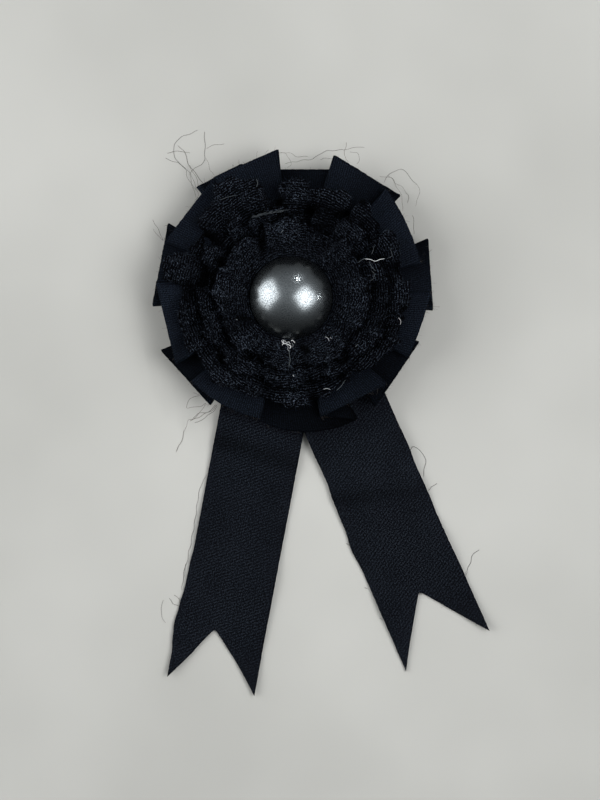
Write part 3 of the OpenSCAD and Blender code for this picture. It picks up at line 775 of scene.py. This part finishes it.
def readTable(table, along):
    # The table's columns after the first, each smoothed between its rows
    rows = np.array(table, float)
    places = rows[:, 0]
    i = np.clip(np.searchsorted(places, along, side="right") - 1, 0, len(rows) - 2)
    s = ease(np.minimum(1.0, (along - places[i]) / (places[i + 1] - places[i])))
    return [blend(column[i], column[i + 1], s) for column in rows.T[1:]]


def tailLines(tail):
    # The cloth as cut, along and across, and where it lies
    across = np.linspace(-1, 1, tails["acrossSteps"] + 1)[None, :]
    offCentre = across - tail["notchAt"]
    offCentre = offCentre / (1 - np.sign(offCentre) * tail["notchAt"])
    end = tail["length"] - tail["notch"] * np.maximum(1 - np.sqrt(offCentre ** 2 + 0.0006), 0)
    end = end + np.where(across < 0, *tail["points"]) * across ** 4
    along = end * np.linspace(0, 1, tails["alongSteps"] + 1)[:, None]
    left, middle, right = readTable(tail["rise"], along)
    lift = blend(middle, np.where(across < 0, left, right), across ** 2)
    lean = math.radians(tail["lean"])
    down = np.array([-math.sin(lean), -math.cos(lean)])
    side = np.array([math.cos(lean), -math.sin(lean)])
    u = across * tail["width"] / 2 + 0 * along
    swingLeft, swingRight = readTable(tail["swing"], along)
    shifted = u + blend(swingLeft, swingRight, (across + 1) / 2)
    flat = np.array(tail["root"]) + along[..., None] * down + shifted[..., None] * side
    z = tails["thickness"] / 2 + lift + 0.02
    paintedShading = np.full(along.shape, 0.95)
    # Each fold lifts the cloth and paints shade or light along it
    for place, slant, width, height, foldPaintedShading, kept in tail["folds"]:
        near = np.exp(-((along - place - slant * u) / width) ** 2) * blend(1, kept, (across + 1) / 2)
        z = z + height * near
        paintedShading = paintedShading * blend(1, foldPaintedShading, near)
    uvs = np.stack([along, u + tail["width"] / 2], axis=2) * mm
    return np.concatenate([flat, z[..., None]], axis=2), uvs, paintedShading


for order, node in enumerate(("tail_left", "tail_right")):
    tail = tails[node]
    points, uvs, paintedShading = tailLines(tail)
    edge = np.linspace(-1, 1, points.shape[1])[None, :] ** 8
    points[..., :2] += 0.05 * (crumple(points, 1.2, 80 + order) * edge)[..., None] * np.array([1, 0.3])
    points[..., 2] += 0.12 * (1 + crumple(points, 16, 90 + order)) * np.linspace(0, 1, len(points))[:, None]
    # Painted shade and light at the folds, plus a faint tone that differs at random over the ribbon
    paintedShading = paintedShading + 0.06 * crumple(points, 26, 95 + order)
    cloth = layCloth(node + "_ribbon", points, uvs, False, tails["thickness"], tailTwill, paintedShading)
    ends = frayedRim(node + "_ends", np.swapaxes(points, 0, 1), False, tails["fringe"], looseThread,
                     100 + order)
    settle(cloth, node)
    settle(ends)
    print("stage:", node)

ringHairs = frayedRim("outer_ruffle_ends", ringPoints, True, ring["fringe"], looseThread, 104)
settle(ringHairs)


# Round of cloth on the back, that everything is sewn to

# thickness: of the round with its stitching; cloth: of the cloth alone
disc = {"diameter": 37.0, "bottom": 5.3, "thickness": 1.2, "cloth": 0.9, "rings": 14, "turns": 120}


def discLines():
    lines = []
    for i in range(disc["turns"]):
        a = 360 * i / disc["turns"]
        lines.append([polar(a, blend(0.6, disc["diameter"] / 2 - 0.2, k / disc["rings"]),
                            disc["bottom"] + disc["thickness"] / 2) for k in range(disc["rings"] + 1)])
    return np.array(lines)


discPoints = discLines()
discUv = discPoints[..., :2] * mm
discPoints[..., 2] += 0.05 * crumple(discPoints, 5, 7)
baseDisc = layCloth("base_disc_cloth", discPoints, discUv, True, disc["cloth"], ringTwill,
                    np.ones(discPoints.shape[:2]))
settle(baseDisc, "base_disc")
print("stage: round of cloth")


# Half-round pearl; the pin comes after the stitches

# The dome is part of a ball, rounded off into a straight wall
pearl = {"diameter": 25.0, "bottom": 12.9, "height": 12.0, "domeRadius": 14.66, "edge": 1.2, "turns": 160}


def pearlProfile():
    # From the middle of the top down to the middle of the underside: radius and height
    radius, ball, edge = pearl["diameter"] / 2, pearl["domeRadius"], pearl["edge"]
    centre = pearl["height"] - ball
    edgeHeight = centre + math.sqrt((ball - edge) ** 2 - (radius - edge) ** 2)
    meet = math.asin((radius - edge) / (ball - edge))
    dome = [(ball * math.sin(a), centre + ball * math.cos(a)) for a in np.linspace(0.02, meet, 44)]
    curve = [(radius - edge + edge * math.sin(a), edgeHeight + edge * math.cos(a))
             for a in np.linspace(meet, math.pi / 2, 10)[1:]]
    return dome + curve + [(radius, 0.3), (radius - 0.3, 0.0)]


def pearlDome():
    profile, turns = pearlProfile(), pearl["turns"]
    points = [polar(360 * i / turns, r, pearl["bottom"] + z) for r, z in profile for i in range(turns)]
    faces = [(below + k, below + (k + 1) % turns, below - turns + (k + 1) % turns, below - turns + k)
             for below in range(turns, len(profile) * turns, turns) for k in range(turns)]
    points += [np.array([0, 0, pearl["bottom"] + pearl["height"]]), np.array([0, 0, pearl["bottom"]])]
    top, bottom, last = len(points) - 2, len(points) - 1, (len(profile) - 1) * turns
    faces += [(k, (k + 1) % turns, top) for k in range(turns)]
    faces += [(last + (k + 1) % turns, last + k, bottom) for k in range(turns)]
    points = np.array(points)
    return newObject("pearl_half_round", points, faces, points[:, :2] * mm, pearlCoat)


halfPearl = pearlDome()
settle(halfPearl, "pearl_dome")

# Loose threads off the cut edges, that lie on the surface beside the brooch

threads = {
    "thickness": 0.085, "steps": 48, "waver": 0.16, "tailHeight": 0.6,
    # what it hangs on, thickness next to the others, then its way from there
    "routes": [
        ("ring", 0.9, [(-29.5, 29.5), (-28.5, 31.5), (-29, 33.5), (-30.5, 37.5), (-32.5, 40), (-34.5, 41.5),
                       (-36, 44.5), (-36, 46), (-35, 48.5), (-32.5, 50), (-28.5, 51.5)]),
        ("ring", 1.0, [(-29, 30.5), (-31, 37.5), (-30.5, 39), (-28.5, 40.5), (-26.5, 42.5), (-26.5, 44.5),
                       (-26.5, 47.5), (-26.5, 51)]),
        ("ring", 1.7, [(-26.5, 34.5), (-27.5, 36), (-30, 39), (-31, 41)]),
        ("floor", 1.1, [(-38, 44.5), (-36, 45), (-32.5, 45), (-31, 44.5)]),
        ("ring", 1.2, [(-28, 33), (-29.5, 38), (-31.5, 40.5), (-32, 43.5), (-34.5, 47)]),
        ("ring", 1.0, [(-29, 33), (-31.5, 36.5), (-33, 40.5), (-38.5, 43)]),
        ("floor", 0.9, [(-26, 46), (-23.5, 47), (-20.5, 47.5)]),
        ("ring", 0.9, [(-23.5, 37.5), (-25, 40), (-26, 43)]),
        ("ring", 1.2, [(-39, 17.5), (-40.5, 21), (-42, 23), (-42.5, 24)]),
        ("ring", 1.0, [(-39, 17.5), (-41.5, 20), (-42, 21)]),
        ("ring", 0.9, [(-8, 44), (-7, 45.5)]),
        ("ring", 0.9, [(-4.5, 44.5), (-1, 44.5), (2, 43.5), (5, 43.5)]),
        ("ring", 1.0, [(-2, 41), (2.5, 42), (7, 43), (10, 45), (14.5, 45.5), (16, 45.5)]),
        ("ring", 0.8, [(-4.5, 44.5), (-1.5, 44), (0, 41), (-1, 40)]),
        ("floor", 0.8, [(9, 42.5), (10.5, 43), (13, 43), (14.5, 43.5)]),
        ("ring", 1.2, [(17.5, 41.5), (16.5, 43), (16.5, 45.5), (17, 48)]),
        ("ring", 0.9, [(20, 41), (21, 42.5), (20, 44.5), (18, 45)]),
        ("floor", 0.9, [(16, 45.5), (18, 46), (22.5, 46.5)]),
        ("ring", 0.9, [(34, 26.5), (34, 30), (33.5, 32), (32.5, 34), (30.5, 37), (27, 37.5)]),
        ("ring", 0.8, [(38, 28), (39, 31.5), (39, 34), (36.5, 37), (34, 39.5), (30.5, 38.5), (28.5, 35.5)]),
        ("ring", 0.8, [(29.5, 37.5), (32.5, 35), (34.5, 33.5), (36, 31.5), (35.5, 29.5)]),
        ("ring", 1.5, [(37.5, 19.5), (37.5, 23), (37, 25.5)]),
        ("ring", 0.9, [(42.5, -3), (43.5, -2.5), (45.5, -2.8)]),
        ("ring", 1.1, [(-26, -32), (-28, -33), (-32, -33.5), (-31, -31), (-28, -29.5)]),
        ("ring", 1.2, [(-26, -32), (-27.5, -34.5), (-29.5, -36.5), (-31.5, -37.5), (-32.5, -40),
                       (-34, -44.5), (-35.5, -47)]),
        ("ring", 1.6, [(-22.5, -32.5), (-24, -34), (-27.5, -36), (-31, -37.5)]),
        ("ring", 1.5, [(-23, -32.5), (-25.2, -34.6), (-28, -35.2), (-30.2, -36.6)]),
        ("ring", 1.3, [(-22.5, -33), (-24.4, -35), (-27, -37), (-29.5, -38)]),
        ("ring", 1.0, [(-28, -29.5), (-30, -29)]),
        ("tail", 1.1, [(-34, -94.5), (-36, -93.5), (-37.5, -92)]),
        ("tail", 1.1, [(-34, -94), (-34.5, -92), (-36, -91)]),
        ("tail", 0.8, [(-38.5, -99.5), (-39.5, -97.5), (-40, -95), (-39, -92.5)]),
        ("tail", 1.1, [(-33.5, -89.5), (-33, -85), (-32.5, -81.5)]),
        ("tail", 0.9, [(-25.5, -53.5), (-28, -58.5), (-30, -71), (-33, -85.5)]),
        ("tail", 1.2, [(36.5, -46.5), (37.5, -45.5), (39.5, -46.5), (41, -49), (41, -51.5), (40.5, -54.5)]),
        ("tail", 1.1, [(42, -59), (44.5, -56.5)]),
        ("tail", 1.2, [(53.5, -85), (54.5, -82), (55.5, -79), (57.5, -77)]),
        ("tail", 1.3, [(18.5, -76), (17, -75)]),
        ("tail", 1.3, [(23.5, -89), (22.5, -88.5)]),
        ("tail", 1.3, [(28, -98.5), (27, -98)]),
    ],
}


def threadLines():
    # Each thread starts at the height of the edge it hangs on and comes down to the surface
    rng = np.random.default_rng(110)
    ground = threads["thickness"]
    lines = []
    for hold, _, route in threads["routes"]:
        line = curveThrough(route, threads["steps"])
        steps = np.linalg.norm(np.diff(line, axis=0), axis=1)
        run = np.concatenate([[0], np.cumsum(steps)])
        start = ground
        if hold == "ring":
            start = float(ringHeight(math.atan2(route[0][1], route[0][0]), math.hypot(*route[0]), 0.4))
        if hold == "tail":
            start = threads["tailHeight"]
        z = blend(start, ground, ease(np.minimum(run / (1.2 * start + 1.5), 1)))
        wave = np.sin(run[:, None] * rng.uniform(0.9, 1.6, 2) + rng.uniform(0, 6, 2)) * threads["waver"]
        wave *= np.minimum(run, 1.5)[:, None] / 1.5
        lines.append(np.column_stack([line + wave, z]))
    return lines


threadSizes = [threads["thickness"] * size for _, size, _ in threads["routes"]]
threadShades = np.random.default_rng(111).uniform(0.2, 1, len(threadSizes))
strayThreads = spinYarn("loose_threads", threadLines(), threadSizes, threadShades, looseThread, 4)
settle(strayThreads)


# White and grey fibres caught on the tweed

fibres = {
    "steps": 14, "over": 0.6,
    # thickness, shade from grey to white, then its way over the tweed
    "routes": [
        (0.16, 0.9, [(22.3, 11.7), (24.2, 11.5), (25.5, 11.0), (27.1, 11.6), (28.4, 11.8)]),
        (0.14, 0.3, [(20.4, 10.6), (21.3, 11.3), (22.4, 11.8)]),
        (0.12, 0.22, [(24.2, 8.2), (25.2, 7.2), (24.9, 5.6), (24.0, 5.1)]),
        (0.14, 0.24, [(23.6, 10.9), (24.4, 9.4), (25.6, 8.0)]),
        (0.14, 0.23, [(25.2, 15.9), (24.9, 14.4), (24.4, 13.1)]),
        (0.12, 0.18, [(30.0, 15.3), (30.7, 12.9), (30.0, 12.3), (29.0, 11.8)]),
        (0.2, 0.9, [(-2.9, -13.0), (-2.3, -13.9), (-1.2, -14.1), (-0.1, -14.8), (-0.4, -15.5)]),
        (0.16, 0.85, [(-2.5, -12.8), (-2.2, -13.5), (-2.7, -14.5)]),
        (0.19, 0.9, [(0.0, -13.1), (0.5, -13.0), (1.2, -13.8)]),
        (0.12, 0.32, [(-0.4, -15.9), (-0.6, -16.9), (-0.3, -18.9), (-0.7, -21.1)]),
        (0.16, 0.72, [(0.5, -23.5), (0.8, -23.9)]),
        (0.16, 0.72, [(10.4, -11.9), (11.1, -12.3), (11.6, -13.2)]),
        (0.14, 0.63, [(11.9, -12.0), (12.2, -12.6)]),
        (0.16, 0.77, [(32.6, -6.1), (33.3, -7.0), (33.2, -8.2)]),
        (0.17, 0.54, [(-16.7, -6.6), (-16.3, -6.8)]),
        (0.15, 0.72, [(9.8, -27.8), (10.9, -27.6), (11.9, -27.9)]),
        (0.12, 0.36, [(13.8, -28.2), (15.2, -26.9), (16.5, -25.0)]),
        (0.12, 0.32, [(-10.5, 36.0), (-10.2, 34.8), (-10.5, 33.6)]),
        (0.14, 0.18, [(-21.4, 29.6), (-18.9, 30.6), (-16.5, 31.1)]),
        (0.12, 0.45, [(-3.0, 19.6), (-2.4, 20.4)]),
        (0.12, 0.45, [(19.5, -15.0), (20.2, -14.2)]),
        (0.14, 0.8, [(-2.0, -12.9), (-1.5, -13.6), (-0.7, -13.5), (-0.2, -14.2)]),
        (0.12, 0.65, [(-1.4, -14.3), (-0.9, -15.0), (-1.0, -15.8), (-0.6, -16.3)]),
        (0.12, 0.55, [(0.2, -13.8), (0.6, -14.4), (0.4, -15.1)]),
    ],
}


def topOfTweed(x, y):
    # Height of the uppermost ruffle at a place
    near = [grid.reshape(-1, 3) for grid in ruffleGrids.values()]
    near = [grid[np.hypot(grid[:, 0] - x, grid[:, 1] - y) < 0.9] for grid in near]
    return max(float(np.percentile(grid[:, 2], 80)) for grid in near if len(grid))


def fibreLines():
    lines = []
    for _, _, route in fibres["routes"]:
        line = curveThrough(route, fibres["steps"])
        lines.append([(x, y, topOfTweed(x, y) + fibres["over"]) for x, y in line])
    return lines


fibreSizes = [row[0] for row in fibres["routes"]]
fibreShades = [row[1] for row in fibres["routes"]]
caughtFibres = spinYarn("caught_fibres", fibreLines(), fibreSizes, fibreShades, whiteFibre, 4)


# Pale raw edge where the middle ruffle turns its cut side up

paleRim = {"route": [(-12.2, 24.4), (-10.6, 24.7), (-8.0, 25.4), (-5.0, 25.9), (-2.0, 26.6), (0.6, 27.4)],
           "strands": 30, "length": (0.12, 0.4), "width": 0.7, "thickness": (0.12, 0.2),
           "shades": (0.0, 0.2), "steps": 12}


def rimStrands():
    rng = np.random.default_rng(120)
    points = 60
    route = curveThrough(paleRim["route"], points)
    heights = np.array([topOfTweed(x, y) for x, y in route])
    heights = np.convolve(np.pad(heights, 6, mode="edge"), np.ones(13) / 13, mode="valid")
    lines = []
    for _ in range(paleRim["strands"]):
        share = rng.uniform(*paleRim["length"])
        start = rng.uniform(0, 1 - share)
        places = np.linspace(start, start + share, paleRim["steps"])
        x, y, z = (np.interp(places, np.linspace(0, 1, points), column) for column in (*route.T, heights))
        waver = 0.12 * np.sin(places * rng.uniform(20, 60) + rng.uniform(0, 6))
        lines.append(np.column_stack([x, y + rng.uniform(-0.5, 0.5) * paleRim["width"] + waver,
                                      z + 0.7 + rng.uniform(0, 0.3) + waver]))
    return lines


rng = np.random.default_rng(121)
rimSizes = rng.uniform(*paleRim["thickness"], paleRim["strands"])
rimShades = rng.uniform(*paleRim["shades"], paleRim["strands"])
paleEdge = spinYarn("raw_edge_yarns", rimStrands(), rimSizes, rimShades, whiteFibre)
for piece in (caughtFibres, paleEdge):
    settle(piece)


# Stitches on the back: three over each end of the pin's bar, and a round of them for the ruffles

stitches = {"thickness": 0.34, "barPlaces": (-9.4, -8.9, -8.4, 8.4, 8.9, 9.4), "barSide": 2.5,
            "barUnder": 4.2, "roundRadius": 16.4, "roundCount": 22, "roundShare": 0.6, "steps": 9}


def stitchLines():
    discUnder = disc["bottom"]
    side, under, half = stitches["barSide"], stitches["barUnder"], stitches["thickness"] / 2
    lines = []
    for x in stitches["barPlaces"]:
        path = [(-side - 0.7, discUnder + 0.3), (-side - 0.3, under + 0.4), (-side, under - half),
                (0, under - half), (side, under - half), (side + 0.3, under + 0.4),
                (side + 0.7, discUnder + 0.3)]
        lines.append([(x, y, z) for y, z in curveThrough(path, stitches["steps"])])
    for i in range(stitches["roundCount"]):
        middle = 360 * (i + 0.5) / stitches["roundCount"]
        reach = 180 * stitches["roundShare"] / stitches["roundCount"]
        lines.append([polar(middle + reach * s, stitches["roundRadius"], discUnder + 0.4 * s * s - 0.12)
                      for s in np.linspace(-1, 1, stitches["steps"])])
    return lines


stitchRows = stitchLines()
backStitches = spinYarn("back_stitches", stitchRows, np.full(len(stitchRows), stitches["thickness"]),
                        np.full(len(stitchRows), 0.5), looseThread, 6)
settle(backStitches)
print("stage: threads, fibres and stitches")

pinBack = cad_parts["pin_back"]
pinBack.data.materials.clear()
pinBack.data.materials.append(plated)
print("stage: pearl and pin")
